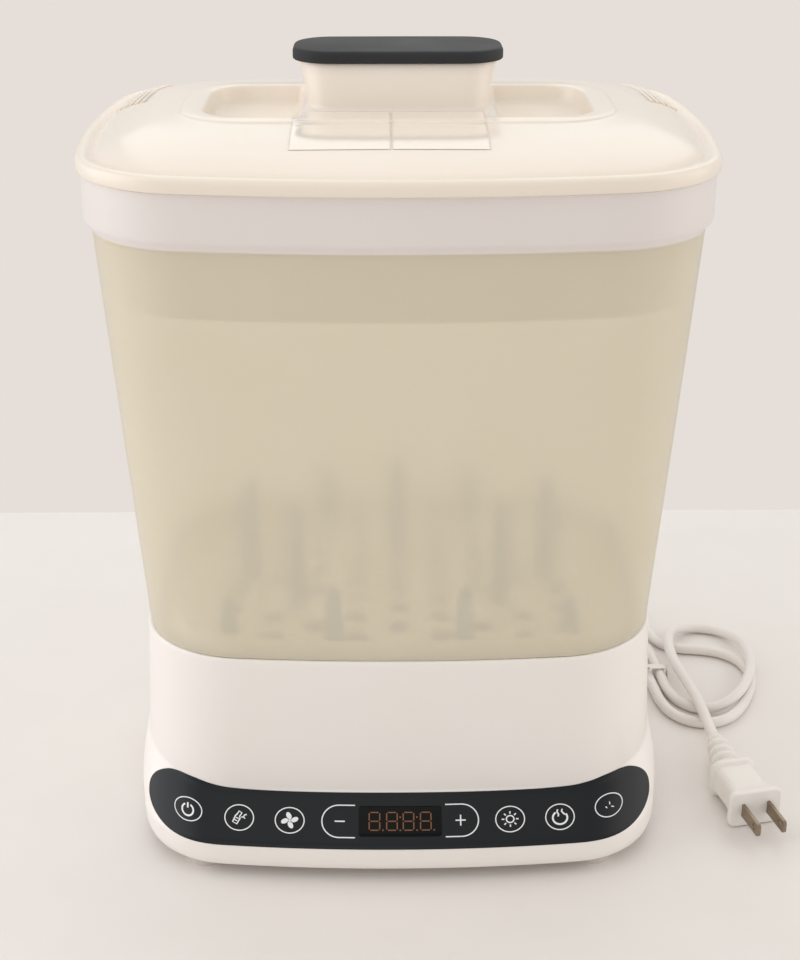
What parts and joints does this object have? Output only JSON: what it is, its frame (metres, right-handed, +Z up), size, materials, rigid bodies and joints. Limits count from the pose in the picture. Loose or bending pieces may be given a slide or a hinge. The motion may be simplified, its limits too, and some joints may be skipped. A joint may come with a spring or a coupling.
{
  "type": "bottle steam steriliser and dryer",
  "caption": "Countertop steam steriliser and dryer: heated base with touch panel, translucent tub, bottle rack, hanging tray and domed lid with a handle.",
  "frame": {"origin": "on the surface that the feet stand on, under the middle of the object", "axes": "+Z up, -Y towards the front with the touch panel, +X to the right as seen from the front"},
  "size_m": [0.3314, 0.2739, 0.3505],
  "materials": {
    "base_white": "smooth gloss ABS",
    "lid_ivory": "smooth gloss polypropylene",
    "panel_black": "dark film under clear gloss",
    "lens_smoke": "smoked window",
    "inner_white": "heat-resistant moulding",
    "tub_clear": "translucent warm-tinted polypropylene",
    "rack_cream": "satin polypropylene",
    "peg_grey": "satin polypropylene",
    "tray_cream": "translucent polypropylene",
    "seal_silicone": "clear-white silicone",
    "feet_rubber": "soft rubber",
    "dish_steel": "pressed stainless steel",
    "element_metal": "cast and brazed",
    "fin_metal": "folded fins",
    "screw_steel": "zinc-plated",
    "motor_metal": "plated can",
    "circuit_green": "solder mask",
    "part_black": "moulded",
    "part_yellow": "taped winding",
    "duct_grey": "heat-resistant moulding",
    "wheel_grey": "moulded",
    "filter_foam": "open-cell foam",
    "quartz": "clear",
    "grip_ivory": "smooth gloss",
    "cap_dark": "soft-touch",
    "cord_white": "soft PVC",
    "plug_white": "moulded PVC",
    "blade_nickel": "nickel-plated brass"
  },
  "bodies": {
    "base": {"base_housing": "base_white", "inner_deck": "inner_white", "deck_posts": "inner_white", "bottom_cover": "base_white", "rubber_feet": "feet_rubber", "housing_screws": "screw_steel", "control_panel": "panel_black", "display_lens": "lens_smoke", "display_module": "part_black", "touch_board": "circuit_green", "heating_dish": "dish_steel", "dish_seal": "seal_silicone", "heater_element": "element_metal", "thermostat": "part_black", "thermal_fuse": "screw_steel", "fan_housing": "duct_grey", "fan_motor": "motor_metal", "air_heater": "fin_metal", "air_duct": "duct_grey", "outlet_grille": "inner_white", "uv_window": "quartz", "uv_lamp_board": "circuit_green", "power_board": "circuit_green", "transformer": "part_yellow", "relays": "part_black", "capacitors": "part_black", "cord_gland": "plug_white", "power_cord": "cord_white", "cord_tie": "cord_white", "plug_body": "plug_white", "plug_relief": "plug_white", "plug_blades": "blade_nickel"},
    "fan": {"fan_impeller": "wheel_grey"},
    "filter": {"filter_door": "base_white", "air_filter": "filter_foam"},
    "chamber": {"chamber_shell": "tub_clear"},
    "rack": {"bottle_rack": "rack_cream", "rack_pegs": "peg_grey"},
    "lid": {"lid_shell": "lid_ivory", "lid_seal": "seal_silicone", "handle_body": "grip_ivory", "handle_cap": "cap_dark", "handle_screws": "screw_steel"},
    "tray": {"upper_tray": "tray_cream"}
  },
  "joints": [
    {"name": "fan_spin", "type": "hinge", "parent": "base", "child": "fan", "pos_m": [-0.062, 0.032, 0.0348], "axis": [0, 0, 1], "continuous": true},
    {"name": "filter_pull", "type": "slide", "parent": "base", "child": "filter", "axis": [0, 1, 0], "range_m": [0, 0.03]},
    {"name": "chamber_lift", "type": "slide", "parent": "base", "child": "chamber", "axis": [0, 0, 1], "range_m": [0, 0.12]},
    {"name": "rack_lift", "type": "slide", "parent": "chamber", "child": "rack", "axis": [0, 0, 1], "range_m": [0, 0.09]},
    {"name": "lid_lift", "type": "slide", "parent": "chamber", "child": "lid", "axis": [0, 0, 1], "range_m": [0, 0.16]},
    {"name": "tray_lift", "type": "slide", "parent": "chamber", "child": "tray", "axis": [0, 0, 1], "range_m": [0, 0.08]}
  ],
  "couplings": [
    {"joint": "tray_lift", "follows": "lid_lift", "ratio": 0.5}
  ]
}
